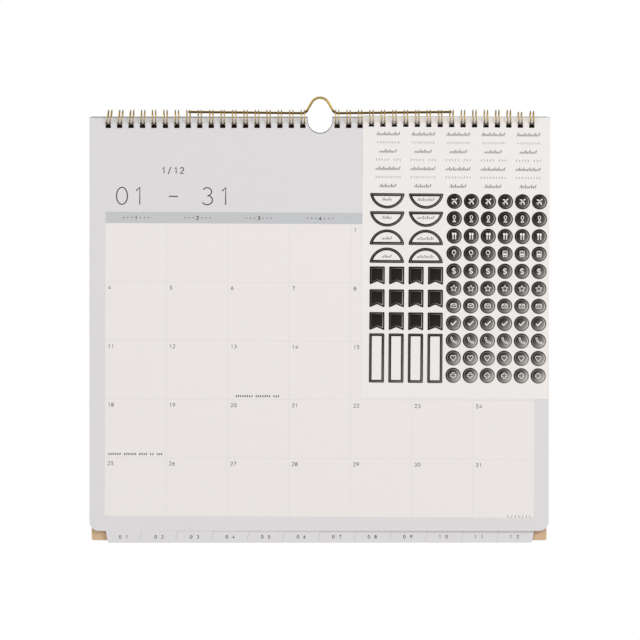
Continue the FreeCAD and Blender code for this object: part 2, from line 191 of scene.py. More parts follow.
HALF_RADIUS = 13.0 * MM
HALF_HEIGHT = 11.35 * MM
HALF_LEFT = 18.45 * MM
HALF_TOP = 57.2 * MM
HALF_COLUMN = 28.7 * MM
HALF_ROW = 13.4 * MM
HALF_COLUMNS = 2
HALF_ROWS = 4
HANGING_ROWS = 2
HALF_BORDER = 2.1 * MM

BANNER_WIDTH = 11.2 * MM
BANNER_HEIGHT = 13.2 * MM
BANNER_NOTCH = 2.1 * MM
BANNER_LEFT = 11.45 * MM
BANNER_TOP = 111.4 * MM
BANNER_COLUMN = 14.37 * MM
BANNER_ROW = 16.9 * MM
BANNER_COLUMNS = 4
BANNER_ROWS = 3
BANNER_CORNER = 0.8 * MM
BANNER_INSET = 1.25 * MM
BANNER_LINE = 0.34 * MM
BOX_TOP = 160.9 * MM
BOX_HEIGHT = 36.4 * MM
BOX_BORDER = 2.0 * MM

FRAME_CORNER = 0.9 * MM
FRAME_INNER_CORNER = 0.35 * MM
FRAME_LINE = 0.26 * MM
FRAME_LINE_CORNER = 0.6 * MM

# Flourishes and rows of marks at the top of the sheet by turns, and a flourish in each half-round sticker

FLOURISH_LEFT = 18.9 * MM
FLOURISH_TOP = 13.2 * MM
FLOURISH_COLUMN = 25.9 * MM
FLOURISH_ROW = 6.4 * MM
FLOURISH_COLUMNS = 5
FLOURISH_ROWS = 7
FLOURISH_LENGTHS = (17.0 * MM, 12.5 * MM, 18.0 * MM, 12.0 * MM)
FLOURISH_HEIGHT = 2.4 * MM
FLOURISH_STROKE = 0.34 * MM
WAVE_PITCH = 1.5 * MM
MARK_GROUPS = ((8,), (5, 3), (9,))
SHEET_MARK = Print(1.6 * MM, 2.2 * MM, 0.36 * MM)
HALF_FLOURISH_DROPS = (4.4 * MM, 4.4 * MM, 6.4 * MM, 6.4 * MM)
HALF_FLOURISH_LENGTHS = (7.0 * MM, 12.5 * MM)
HALF_FLOURISH_HEIGHT = 2.1 * MM
HALF_FLOURISH_STROKE = 0.3 * MM

# Holes, the thumb notch, and the rim of painted shade along the paper's and the board's top edges

BOARD_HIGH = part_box("backing_board")[1]
HOLE_SIZE = 4.0 * MM
HOLE_MARGIN = 4.1 * MM
NOTCH_RADIUS = 8.95 * MM
NOTCH_DROP = 3.0 * MM
SHADE_RIM = 0.28 * MM

# Pictures of the round stickers by rows: two in one row have half of it each

ROUND_ROWS = [
    ["plane"], ["key"], ["cutlery"], ["balloon", "bus"], ["coin"], ["star"],
    ["envelope"], ["check"], ["phone"], ["heart"], ["cross"],
]


# Colours

def linear(text):
    """A colour written as six hex digits, as a linear colour."""
    parts = [int(text[k:k + 2], 16) / 255 for k in (0, 2, 4)]
    return tuple(p / 12.92 if p <= 0.04045 else ((p + 0.055) / 1.055) ** 2.4 for p in parts) + (1.0,)


HEADER_GREY = linear("dedbdd")
BAR_GREY = linear("c5c6c8")
FIELD_WHITE = linear("ece7e5")
# Painted shade of the embossed grid grooves
GRID_GROOVE_SHADE = linear("dedad8")
SHEET_WHITE = linear("eeeae7")
# Painted shade in the gaps between the leaves on the cut edges
LEAF_GAP_SHADE = linear("c9c8c8")
KRAFT = linear("dcbd9c")
KRAFT_DARK = linear("b39070")
# Painted shade along the top edges of the paper and the board, and in the thumb notch
KRAFT_SHADE = linear("3d3025")
# Painted shade inside the holes and on the board behind them
HOLE_SHADE = linear("3f2b16")
INK = linear("2e2d30")
PALE_INK = linear("55514e")
FOIL_DARK = linear("1c1a19")
# Painted reflection on the foil
FOIL_REFLECTION = linear("dfdad3")
BRASS = linear("c6a95c")
BRASS_DARK = linear("7d6630")
# Painted shade on the wires
BRASS_SHADE = linear("563b12")
PALE_BRASS = linear("d9be84")
# Painted shadow lines on the tabs
TAB_SHADE = linear("bcbbbb")


# Nodes of a material

def new_material(name):
    material = bpy.data.materials.new(name)
    material.use_nodes = True
    return material, material.node_tree, material.node_tree.nodes["Principled BSDF"]


def add(tree, kind, inputs, **settings):
    """A node with its settings, and its inputs linked or set."""
    made = tree.nodes.new(kind)
    for key, value in settings.items():
        setattr(made, key, value)
    for key, value in inputs.items():
        if isinstance(value, bpy.types.NodeSocket):
            tree.links.new(value, made.inputs[key])
        else:
            made.inputs[key].default_value = value
    return made


def maths(tree, operation, *values):
    return add(tree, "ShaderNodeMath", dict(enumerate(values)), operation=operation).outputs[0]


def mix(tree, factor, first, second):
    made = add(tree, "ShaderNodeMix", {0: factor, 6: first, 7: second}, data_type="RGBA")
    return made.outputs[2]


def places(tree):
    """The surface's own x, y and z in the frame."""
    where = add(tree, "ShaderNodeTexCoord", {}).outputs["Object"]
    return where, *add(tree, "ShaderNodeSeparateXYZ", {0: where}).outputs


def between(tree, value, low, high):
    above = maths(tree, "GREATER_THAN", value, low)
    return maths(tree, "MULTIPLY", above, maths(tree, "LESS_THAN", value, high))


def grain(tree, where, scale, detail=4.0, stretch=(1, 1, 1)):
    """Fine random variation, from 0 to 1."""
    placed = add(tree, "ShaderNodeMapping", {"Vector": where, "Scale": stretch}).outputs[0]
    return add(tree, "ShaderNodeTexNoise", {"Vector": placed, "Scale": scale, "Detail": detail}).outputs[0]


def ramp(tree, value, start, end, most=1.0):
    """0 where the value is at its start, and rising to the most where it is at its end."""
    limits = {"Value": value, "From Min": start, "From Max": end, "To Max": most}
    return add(tree, "ShaderNodeMapRange", limits).outputs[0]


def bump(tree, shader, height, strength, distance):
    made = add(tree, "ShaderNodeBump", {"Height": height, "Strength": strength, "Distance": distance})
    tree.links.new(made.outputs[0], shader.inputs["Normal"])


def mottled(tree, where, colour, amount=0.03, scale=160):
    """A colour that varies a little from place to place."""
    cloud = grain(tree, where, scale)
    value = maths(tree, "ADD", maths(tree, "MULTIPLY", cloud, 2 * amount), 1 - amount)
    made = add(tree, "ShaderNodeHueSaturation", {"Color": colour, "Value": value})
    return made.outputs[0]


def paper_finish(tree, shader, where, colour):
    tree.links.new(mottled(tree, where, colour, 0.012), shader.inputs["Base Color"])
    shader.inputs["Roughness"].default_value = 0.82
    shader.inputs["Specular IOR Level"].default_value = 0.25
    bump(tree, shader, grain(tree, where, 2600, 6), 0.12, 0.05 * MM)


def printed_page():
    """The front leaf: a grey ground, a darker weekday bar and a warm white field with embossed grid lines in
    painted shade. Its top edge and thumb notch carry a rim of painted shade.
    """
    material, tree, shader = new_material("printed_page")
    where, x, y, z = places(tree)
    lean = maths(tree, "MULTIPLY", maths(tree, "SUBTRACT", FIELD_TOP, z), PRINT_LEAN)
    across = maths(tree, "ADD", x, lean)
    fall = maths(tree, "MULTIPLY", maths(tree, "SUBTRACT", x, FIELD_LEFT), PRINT_FALL)
    up = maths(tree, "ADD", z, fall)
    right = FIELD_LEFT + COLUMNS * COLUMN_PITCH
    low = FIELD_TOP - ROWS * ROW_PITCH
    over_field = between(tree, across, FIELD_LEFT, right)
    front = maths(tree, "LESS_THAN", y, PAGES_FRONT + 0.3 * LEAF_THICKNESS)
    over_field = maths(tree, "MULTIPLY", over_field, front)
    bar = maths(tree, "MULTIPLY", over_field, between(tree, up, FIELD_TOP, FIELD_TOP + BAR_HEIGHT))
    field = maths(tree, "MULTIPLY", over_field, between(tree, up, low, FIELD_TOP))
    from_left = maths(tree, "SUBTRACT", across, FIELD_LEFT)
    from_top = maths(tree, "SUBTRACT", FIELD_TOP, up)
    near_column = maths(tree, "PINGPONG", from_left, COLUMN_PITCH / 2)
    near_row = maths(tree, "PINGPONG", from_top, ROW_PITCH / 2)
    line = maths(tree, "LESS_THAN", maths(tree, "MINIMUM", near_column, near_row), GRID_LINE / 2)
    line = maths(tree, "MULTIPLY", line, field)
    colour = mix(tree, bar, HEADER_GREY, BAR_GREY)
    colour = mix(tree, field, colour, FIELD_WHITE)
    # The embossed grid grooves are drawn as lines of painted shade
    colour = mix(tree, maths(tree, "MULTIPLY", line, 0.55), colour, GRID_GROOVE_SHADE)
    # A rim of painted shade along the top edge and in the thumb notch
    shaded_top = maths(tree, "GREATER_THAN", z, PAGES_HIGH.z - SHADE_RIM)
    rim = maths(tree, "MULTIPLY", maths(tree, "MAXIMUM", shaded_top, in_notch(tree, x, z)), front)
    colour = mix(tree, maths(tree, "MULTIPLY", rim, 0.8), colour, KRAFT_SHADE)
    paper_finish(tree, shader, where, leaf_edges(tree, x, y, z, colour))
    return material


def cut_edge(tree):
    """1 on the faces that run from front to back, such as cut edges."""
    normal = add(tree, "ShaderNodeNewGeometry", {}).outputs["True Normal"]
    facing = maths(tree, "ABSOLUTE", add(tree, "ShaderNodeSeparateXYZ", {0: normal}).outputs[1])
    return maths(tree, "LESS_THAN", facing, 0.3)


def in_notch(tree, x, z):
    """1 at the rim of the leaves' thumb notch and inside it, where painted shade goes."""
    drop = maths(tree, "SUBTRACT", z, PAGES_HIGH.z - NOTCH_DROP)
    square = maths(tree, "ADD", maths(tree, "MULTIPLY", x, x), maths(tree, "MULTIPLY", drop, drop))
    return maths(tree, "LESS_THAN", maths(tree, "SQRT", square), NOTCH_RADIUS + SHADE_RIM)


def by_holes(tree, x, z, top, margin):
    """1 within a margin round the holes of a sheet with its top edge at a height, where painted shade goes.
    """
    across = maths(tree, "ABSOLUTE", x)
    along = maths(tree, "LESS_THAN", across, -FIRST_LEFT + HOLE_PITCH / 2)
    past_notch = maths(tree, "GREATER_THAN", across, HOLE_PITCH)
    near = maths(tree, "PINGPONG", maths(tree, "ADD", x, HOLE_PITCH / 2), HOLE_PITCH / 2)
    inside = maths(tree, "LESS_THAN", near, HOLE_SIZE / 2 + margin)
    high = top - HOLE_MARGIN + margin
    row = between(tree, z, high - HOLE_SIZE - 2 * margin, high)
    row = maths(tree, "MULTIPLY", row, maths(tree, "MULTIPLY", along, past_notch))
    return maths(tree, "MULTIPLY", row, inside)


def leaf_edges(tree, x, y, z, colour):
    """The cut edges of the block show the gaps between the leaves as fine lines of painted shade, and carry
    painted shade inside the holes.
    """
    edge = cut_edge(tree)
    depth = maths(tree, "PINGPONG", maths(tree, "SUBTRACT", y, PAGES_FRONT), LEAF_THICKNESS / 2)
    gap = maths(tree, "LESS_THAN", depth, LEAF_GAP)
    colour = mix(tree, maths(tree, "MULTIPLY", edge, gap), colour, LEAF_GAP_SHADE)
    # Painted shade inside the holes
    hole = maths(tree, "MULTIPLY", edge, by_holes(tree, x, z, PAGES_HIGH.z, margin=0.1 * MM))
    return mix(tree, hole, colour, HOLE_SHADE)


def plain_paper(name, colour):
    material, tree, shader = new_material(name)
    where = places(tree)[0]
    paper_finish(tree, shader, where, colour)
    return material


def sheet_paper():
    """The sticker sheet, with a fine painted shade along the cut at its top."""
    material, tree, shader = new_material("sheet_paper")
    where, x, y, z = places(tree)
    rise = maths(tree, "MULTIPLY", maths(tree, "SUBTRACT", x, SHEET_X), math.sin(SHEET_TILT))
    rim = maths(tree, "GREATER_THAN", maths(tree, "ADD", z, rise), SHEET_TOP - SHADE_RIM)
    colour = mix(tree, maths(tree, "MULTIPLY", rim, 0.6), SHEET_WHITE, KRAFT_SHADE)
    paper_finish(tree, shader, where, colour)
    return material


def kraft_board():
    """Kraft card, with painted shade along its top edge and in its thumb notch, and round the holes behind
    the leaves' holes.
    """
    material, tree, shader = new_material("kraft_board")
    where, x, y, z = places(tree)
    fibres = grain(tree, where, 500, 8, (1, 1, 3))
    flecks = maths(tree, "GREATER_THAN", grain(tree, where, 900, 2), 0.68)
    colour = mix(tree, maths(tree, "MULTIPLY", fibres, 0.45), KRAFT, KRAFT_DARK)
    colour = mix(tree, maths(tree, "MULTIPLY", flecks, 0.35), colour, KRAFT_DARK)
    # Painted shade along the top edge and in the thumb notch
    above = maths(tree, "GREATER_THAN", z, PAGES_HIGH.z - 0.3 * MM)
    front = maths(tree, "LESS_THAN", y, BOARD_HIGH.y - 0.05 * MM)
    rim = maths(tree, "MULTIPLY", maths(tree, "MAXIMUM", above, in_notch(tree, x, z)), front)
    colour = mix(tree, rim, mottled(tree, where, colour, 0.03, 60), KRAFT_SHADE)
    # Painted shade round the holes behind the leaves' holes
    hole = maths(tree, "MULTIPLY", by_holes(tree, x, z, BOARD_HIGH.z, margin=0.4 * MM), front)
    tree.links.new(mix(tree, hole, colour, HOLE_SHADE), shader.inputs["Base Color"])
    shader.inputs["Roughness"].default_value = 0.88
    shader.inputs["Specular IOR Level"].default_value = 0.2
    bump(tree, shader, fibres, 0.25, 0.08 * MM)
    return material


def brass(name, bright, dark, painted_shade, roughness):
    """Drawn brass wire, two colours mixed in its grain. A function of the tree says where shade is painted
    on it.
    """
    material, tree, shader = new_material(name)
    where = places(tree)[0]
    cloud = grain(tree, where, 260, 5)
    colour = mix(tree, maths(tree, "MULTIPLY", cloud, 0.8), bright, dark)
    tree.links.new(mix(tree, painted_shade(tree), colour, BRASS_SHADE), shader.inputs["Base Color"])
    shader.inputs["Metallic"].default_value = 1.0
    scratches = grain(tree, where, 1400, 3, (4, 1, 1))
    rough = maths(tree, "ADD", maths(tree, "MULTIPLY", scratches, 0.16), roughness)
    tree.links.new(rough, shader.inputs["Roughness"])
    bump(tree, shader, scratches, 0.15, 0.02 * MM)
    return material


def under_arms(tree):
    """Painted shade: the hanger's arms are dark below their upper side, and its eye is a little dark at the
    right.
    """
    z = places(tree)[3]
    normal = add(tree, "ShaderNodeNewGeometry", {}).outputs["Normal"]
    across, _, up = add(tree, "ShaderNodeSeparateXYZ", {0: normal}).outputs
    arm = ramp(tree, z, ARM_SHADE_START, ARM_SHADE_FULL)
    below = ramp(tree, up, 0.85, 0.45)
    right = maths(tree, "MULTIPLY", ramp(tree, across, 0.0, 0.9), 0.55)
    return maths(tree, "MAXIMUM", right, maths(tree, "MULTIPLY", arm, maths(tree, "MULTIPLY", below, 0.9)))


def inside_stack(tree):
    """Painted shade: the loops are in deep shade inside the leaves and the board, and darker near there and
    on top.
    """
    y, z = places(tree)[2:]
    deep = between(tree, y, PAGES_FRONT - 0.1 * MM, BOARD_HIGH.y)
    hole_top = RING_HEIGHT - 3.4 * MM
    deep = maths(tree, "MULTIPLY", deep, maths(tree, "LESS_THAN", z, hole_top))
    high = ramp(tree, z, RING_HEIGHT, RING_HEIGHT + 4 * MM, 0.45)
    low = ramp(tree, z, RING_HEIGHT - 2 * MM, RING_HEIGHT - 4 * MM, 0.5)
    return maths(tree, "MAXIMUM", deep, maths(tree, "MAXIMUM", high, low))


def foil(name):
    """Mirror foil over card: a painted reflection, the gleam that each sticker's own points carry, sets how
    bright it is.
    """
    material, tree, shader = new_material(name)
    where = places(tree)[0]
    gleam = add(tree, "ShaderNodeAttribute", {}, attribute_name="gleam").outputs["Fac"]
    cloud = maths(tree, "MULTIPLY", grain(tree, where, 190, 3), 0.3)
    amount = maths(tree, "MULTIPLY", gleam, maths(tree, "ADD", cloud, 0.85))
    tree.links.new(mix(tree, amount, FOIL_DARK, FOIL_REFLECTION), shader.inputs["Base Color"])
    shader.inputs["Metallic"].default_value = 0.95
    shader.inputs["Roughness"].default_value = 0.36
    bump(tree, shader, grain(tree, where, 1500, 4), 0.08, 0.02 * MM)
    return material


def ink(name, colour):
    material, tree, shader = new_material(name)
    where = places(tree)[0]
    tree.links.new(mottled(tree, where, colour, 0.08, 900), shader.inputs["Base Color"])
    shader.inputs["Roughness"].default_value = 0.6
    return material


# Shapes in a flat sketch of (across, up) pairs, in metres

def arc(across, up, wide, high, start, end, steps=16):
    """Points of an ellipse's arc between two angles in degrees."""
    turns = [math.radians(start + (end - start) * k / steps) for k in range(steps + 1)]
    return [(across + wide * math.cos(t), up + high * math.sin(t)) for t in turns]


def offset(points, distance, closed):
    """The points moved sideways, to the left of the way they run, with mitred corners."""
    count = len(points)
    moved = []
    for k, point in enumerate(points):
        sides = []
        if closed or k > 0:
            before = points[k - 1]
            sides.append((point[0] - before[0], point[1] - before[1]))
        if closed or k < count - 1:
            after = points[(k + 1) % count]
            sides.append((after[0] - point[0], after[1] - point[1]))
        normals = []
        for x, y in sides:
            length = math.hypot(x, y)
            normals.append((-y / length, x / length))
        x = sum(n[0] for n in normals) / len(normals)
        y = sum(n[1] for n in normals) / len(normals)
        scale = distance / max(x * x + y * y, 0.25)
        moved.append((point[0] + x * scale, point[1] + y * scale))
    return moved


def rounded(corners, radius, steps=5):
    """A closed outline, run anticlockwise, whose sharp corners are rounded with as many points each."""
    count = len(corners)
    outline = []
    for k in range(count):
        here = Vector(corners[k])
        to_before = (Vector(corners[k - 1]) - here).normalized()
        to_after = (Vector(corners[(k + 1) % count]) - here).normalized()
        half = to_before.angle(to_after) / 2
        if half > math.radians(80):
            outline.append(tuple(here))
            continue
        reach = radius / math.tan(half)
        start = here + to_before * reach
        end = here + to_after * reach
        for step in range(steps + 1):
            t = step / steps
            outline.append(tuple(start * (1 - t) ** 2 + here * 2 * t * (1 - t) + end * t ** 2))
    return outline


def box_outline(left, right, low, high):
    return [(left, low), (right, low), (right, high), (left, high)]


# Carriers of flat shapes: each turns a sketch's pair into a place in the frame

def on_page(depth):
    """From the date field's top left corner: the print lies a little out of square on its leaf."""
    return lambda u, v: Vector((FIELD_LEFT + u + v * PRINT_LEAN, depth, FIELD_TOP + v - u * PRINT_FALL))


def on_sheet(depth):
    """From the sticker sheet's top left corner."""
    cos = math.cos(SHEET_TILT)
    sin = math.sin(SHEET_TILT)

    def put(u, v):
        across = u - SHEET_WIDTH / 2
        return Vector((SHEET_X + across * cos + v * sin, depth, SHEET_TOP - across * sin + v * cos))
    return put


class Flat:
    """A thin raised piece made of many flat shapes on one carrier."""

    def __init__(self, carrier, thickness):
        self.carrier = carrier
        self.thickness = thickness
        self.verts = []
        self.faces = []
        self.gleams = []

    def face_of(self, outline, gleam=None):
        """A filled outline, run anticlockwise."""
        self.strip_between(outline, None, gleam)

    def strip_between(self, outer, inner, gleam=None):
        """The band between two closed outlines of as many points, or the whole of the outer one."""
        first = len(self.verts)
        rings = [outer] + ([inner] if inner else [])
        count = len(outer)
        for lift in (0, self.thickness):
            for ring in rings:
                for u, v in ring:
                    place = self.carrier(u, v)
                    self.verts.append((place.x, place.y - lift, place.z))
                    self.gleams.append(gleam(u, v) if gleam else 0)
        back = first
        front = first + count * len(rings)
        if inner:
            for k in range(count):
                m = (k + 1) % count
                self.faces.append((front + k, front + m, front + count + m, front + count + k))
                self.faces.append((back + m, back + k, back + count + k, back + count + m))
                self.faces.append((front + m, front + k, back + k, back + m))
                inner_front = (front + count + k, front + count + m)
                self.faces.append((*inner_front, back + count + m, back + count + k))
        else:
            self.faces.append(tuple(range(front, front + count)))
            self.faces.append(tuple(reversed(range(back, back + count))))
            for k in range(count):
                m = (k + 1) % count
                self.faces.append((front + m, front + k, back + k, back + m))

    def stroke(self, points, width, closed=False, gleam=None):
        """A line of even width: an open one is a run of quads with its ends closed."""
        left = offset(points, width / 2, closed)
        right = offset(points, -width / 2, closed)
        if closed:
            self.strip_between(right, left, gleam)
            return
        first = len(self.verts)
        for pair in zip(left, right):
            for u, v in pair:
                place = self.carrier(u, v)
                for lift in (0, self.thickness):
                    self.verts.append((place.x, place.y - lift, place.z))
                    self.gleams.append(gleam(u, v) if gleam else 0)
        for k in range(len(points) - 1):
            left_back, left_front, right_back, right_front = range(first + 4 * k, first + 4 * k + 4)
            self.faces.append((left_front, right_front, right_front + 4, left_front + 4))
            self.faces.append((right_back, left_back, left_back + 4, right_back + 4))
            self.faces.append((left_back, left_front, left_front + 4, left_back + 4))
            self.faces.append((right_front, right_back, right_back + 4, right_front + 4))
        last = first + 4 * (len(points) - 1)
        self.faces.append((first, first + 2, first + 3, first + 1))
        self.faces.append((last + 1, last + 3, last + 2, last))

    def piece(self, name, material, body, slot):
        mesh = bpy.data.meshes.new(name)
        mesh.from_pydata(self.verts, [], self.faces)
        # The gleam carries the foil's painted reflection and highlight
        gleam = mesh.attributes.new("gleam", "FLOAT", "POINT")
        gleam.data.foreach_set("value", self.gleams)
        mesh.materials.append(material)
        mesh.validate()
        made = bpy.data.objects.new(name, mesh)
        bpy.context.scene.collection.objects.link(made)
        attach(made, body)
        return made


# Numbers drawn with strokes, in a box one unit high

def digit_strokes():
    top = arc(0.31, 0.74, 0.25, 0.26, 0, 360)[:-1]
    low = arc(0.31, 0.27, 0.30, 0.27, 0, 360)[:-1]
    return {
        "0": [arc(0.32, 0.5, 0.32, 0.5, 0, 360, 28)[:-1] + ["closed"]],
        "1": [[(0.14, 0.8), (0.36, 1), (0.36, 0)]],
        "2": [arc(0.31, 0.71, 0.29, 0.29, 165, -35) + [(0, 0), (0.62, 0)]],
        "3": [arc(0.28, 0.76, 0.26, 0.24, 150, -80) + arc(0.28, 0.27, 0.31, 0.27, 80, -150)],
        "4": [[(0.46, 0), (0.46, 1), (0, 0.28), (0.66, 0.28)]],
        "5": [[(0.56, 1), (0.12, 1), (0.07, 0.56)] + arc(0.28, 0.33, 0.31, 0.33, 120, -145)],
        "6": [low + ["closed"], [(0.45, 1), (0.06, 0.42)]],
        "7": [[(0, 1), (0.6, 1), (0.2, 0)]],
        "8": [top + ["closed"], low + ["closed"]],
        "9": [arc(0.31, 0.72, 0.29, 0.28, 0, 360)[:-1] + ["closed"], [(0.57, 0.62), (0.2, 0)]],
        "-": [[(0.05, 0.48), (0.58, 0.48)]],
        "/": [[(0.05, -0.1), (0.5, 1.1)]],
        ".": [[(0.12, 0.5), (0.5, 0.5)]],
        " ": [],
    }


STROKES = digit_strokes()


def write(flat, text, left, base, size):
    """A row of numbers from a left edge and a base line."""
    for k, sign in enumerate(text):
        start = left + k * size.pitch
        for strokes in STROKES[sign]:
            closed = strokes[-1] == "closed"
            corners = strokes[:-1] if closed else strokes
            points = [(start + x * size.height, base + y * size.height) for x, y in corners]
            flat.stroke(points, size.stroke, closed)


def mark_row(flat, across, up, counts, size):
    """A row of small upright marks in groups, as a stand-in for a line of print."""
    total = sum(counts) + len(counts) - 1
    left = across - (total - 1) * size.pitch / 2
    slot = 0
    for count in counts:
        for k in range(count):
            x = left + slot * size.pitch
            lean = 0.25 * size.height * math.sin(2.1 * slot + across / MM)
            ends = [(x - lean, up - size.height / 2), (x + lean, up + size.height / 2)]
            flat.stroke(ends, size.stroke)
            slot += 1
        slot += 1


def squiggle(flat, across, up, length, height, width, first):
    """A handwritten flourish of slanting waves, with no letters in it. First sets which of them are tall."""
    waves = max(round(length / WAVE_PITCH), 2)
    wave_steps = 12
    steps = wave_steps * waves
    points = []
    for k in range(steps + 1):
        wave = k // wave_steps
        turn = 2 * math.pi * k / wave_steps
        tall = height * (1.0 if (wave * 2 + first) % 5 < 2 else 0.55)
        rise = tall * (0.5 - 0.5 * math.cos(turn)) - height / 2
        points.append((across + length * (k / steps - 0.5) + 0.5 * rise, up + rise))
    flat.stroke(points, width)


# Print on the pages

def page_print(page_ink):
    dark = Flat(on_page(PAGES_FRONT), INK_LIFT)
    write(dark, "01 - 31", TITLE_LEFT, TITLE_BASE, TITLE)
    write(dark, "1/12", MONTH_LEFT, MONTH_BASE, MONTH)
    for date in range(1, LAST_DATE + 1):
        place = date - 1 + FIRST_WEEKDAY
        left = (place % COLUMNS) * COLUMN_PITCH + DATE_LEFT
        base = -(place // COLUMNS) * ROW_PITCH - DATE_DROP
        write(dark, str(date), left, base, DATE)
    for column in range(COLUMNS):
        middle = (column + 0.5) * COLUMN_PITCH
        write(dark, f"...{column + 1}...", middle - WEEKDAY_HALF, WEEKDAY_BASE, WEEKDAY)
    dark.piece("page_numbers", page_ink, "pages", "page_paper")

    notes = Flat(on_page(PAGES_FRONT), INK_LIFT)
    for across, up, counts, size in NOTES:
        mark_row(notes, across, up, counts, size)
    notes.piece("page_notes", page_ink, "pages", "page_paper")


def tab_numbers(page_ink):
    """Each tab is one leaf further back than the one before it, whose side leaves a faint line of painted
    shadow on it.
    """
    shade = plain_paper("tab_shade", TAB_SHADE)
    for index in range(TABS):
        depth = PAGES_FRONT + index * LEAF_THICKNESS
        flat = Flat(lambda u, v: Vector((u, depth, v)), INK_LIFT)
        left = FIRST_TAB_MARK + index * TAB_MARK_PITCH - TAB_NUMBER_HALF
        write(flat, f"{index + 1:02d}", left, TAB_MARK_HEIGHT, TAB_NUMBER)
        flat.piece(f"tab_number_{index + 1:02d}", page_ink, "pages", "page_paper")
        if index > 0:
            # A faint line of painted shadow where the leaf before it ends
            edge = Flat(flat.carrier, INK_LIFT)
            side = (index - TABS / 2) * TAB_PITCH + TAB_SHADOW_LINE / 2
            foot = (side - TAB_SLANT, PAGES_LOW.z + TAB_SHADOW_RISE)
            edge.stroke([(side, LEAF_BOTTOM), foot], TAB_SHADOW_LINE)
            edge.piece(f"tab_shade_{index + 1:02d}", shade, "pages", "page_paper")


# Sticker sheet print and foil stickers

def sheet_print():
    flat = Flat(on_sheet(SHEET_FRONT), INK_LIFT)
    for column in range(FLOURISH_COLUMNS):
        across = FLOURISH_LEFT + column * FLOURISH_COLUMN
        for row in range(FLOURISH_ROWS):
            up = -FLOURISH_TOP - row * FLOURISH_ROW
            if row % 2:
                mark_row(flat, across, up, MARK_GROUPS[row // 2], SHEET_MARK)
            else:
                length = FLOURISH_LENGTHS[row // 2]
                squiggle(flat, across, up, length, FLOURISH_HEIGHT, FLOURISH_STROKE, row)
    for column in range(HALF_COLUMNS):
        across = HALF_LEFT + column * HALF_COLUMN
        length = HALF_FLOURISH_LENGTHS[column]
        for row in range(HALF_ROWS):
            up = -HALF_TOP - row * HALF_ROW - HALF_FLOURISH_DROPS[row]
            squiggle(flat, across, up, length, HALF_FLOURISH_HEIGHT, HALF_FLOURISH_STROKE, column + row)
    flat.piece("sheet_flourishes", ink("sheet_ink", PALE_INK), "stickers", "sticker_paper")


def gleam_at(middle, radius, strength):
    """How bright the foil's painted reflection is at a place: it rises towards the lower right of each
    sticker.
    """
    def amount(u, v):
        own = 0.5 + 0.5 * ((u - middle[0]) * 0.74 - (v - middle[1]) * 0.67) / radius
        return strength * min(max(own, 0), 1) ** 2
    return amount


def ring_gleam(middle, radius, least, most):
    """How bright the painted highlight on a fine line round a sticker is: most at its right side."""
    def amount(u, v):
        right = ((u - middle[0]) * 0.97 - (v - middle[1]) * 0.24) / radius
        return least + (most - least) * min(max(right, 0), 1) ** 1.5
    return amount


def disc(flat, middle, radius, gleam):
    """A round sticker, in rings so that its painted reflection can change across it. The painted reflection
    is weaker near its edge.
    """
    shares = (1.0, 0.9, 0.8, 0.55, 0.3)
    rings = [arc(*middle, radius * share, radius * share, 0, 360, 40)[:-1] for share in shares]

    def dark_edge(u, v):
        reach = math.hypot(u - middle[0], v - middle[1]) / radius
        return gleam(u, v) * (0.35 if reach > 0.85 else 1)

    for outer, inner in zip(rings, rings[1:]):
        flat.strip_between(outer, inner, dark_edge)
    flat.face_of(rings[-1], dark_edge)


def round_gleams(column, row):
    """How bright a round sticker's painted reflection gets, and the dark and the bright side of the painted
    highlight on its ring: more down the sheet.
    """
    down = row / (len(ROUND_ROWS) - 1)
    strength = 0.02 + 0.64 * down + 0.025 * column + (0.06 if row == 0 else 0)
    return strength, 0.06 + 0.24 * down, 0.7 + 0.3 * down


def round_stickers(foil_material, line_material, picture_material):
    for row, pictures in enumerate(ROUND_ROWS):
        share = ROUND_COLUMNS // len(pictures)
        for k, picture in enumerate(pictures):
            body = Flat(on_sheet(SHEET_FRONT), FOIL)
            rim = Flat(on_sheet(SHEET_FRONT - FOIL), INK_LIFT)
            white = Flat(on_sheet(SHEET_FRONT - FOIL), INK_LIFT)
            for column in range(k * share, (k + 1) * share):
                middle = (ROUND_LEFT + column * ROUND_COLUMN, -ROUND_TOP - row * ROUND_ROW)
                strength, least, most = round_gleams(column, row)
                disc(body, middle, ROUND_RADIUS, gleam_at(middle, ROUND_RADIUS, strength))
                ring = arc(*middle, RING_RADIUS, RING_RADIUS, 0, 360, 40)[:-1]
                rim.stroke(ring, RING_LINE, True, ring_gleam(middle, RING_RADIUS, least, most))
                PICTURES[picture](white, middle)
            made = body.piece(f"{picture}_foil", foil_material, "stickers", "sticker_foil")
            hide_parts(f"{picture}_stickers")
            rim.piece(f"{picture}_ring", line_material, "stickers", "sticker_foil")
            white.piece(f"{picture}_picture", picture_material, "stickers", "sticker_paper")


def framed(body, line, outline_at, border, middle, radius):
    """A foil frame round a bare middle, with a fine line along it that carries a painted highlight. The
    outline is drawn at any inset.
    """
    outer = rounded(outline_at(0), FRAME_CORNER)
    inner = rounded(outline_at(border), FRAME_INNER_CORNER)
    body.strip_between(outer, inner, gleam_at(middle, radius, 0.03))
    inset = rounded(outline_at(border * 0.45), FRAME_LINE_CORNER)
    line.stroke(inset, FRAME_LINE, True, ring_gleam(middle, radius, 0.26, 0.55))


def half_outline(across, straight, hangs, inset):
    """A half-round's outline, run anticlockwise, from the height of its straight side."""
    rise = HALF_RADIUS - HALF_HEIGHT
    radius = HALF_RADIUS - inset
    swing = math.degrees(math.asin((rise + inset) / radius))
    if hangs:
        return arc(across, straight + rise, radius, radius, 180 + swing, 360 - swing, 28)
    return arc(across, straight - rise, radius, radius, swing, 180 - swing, 28)


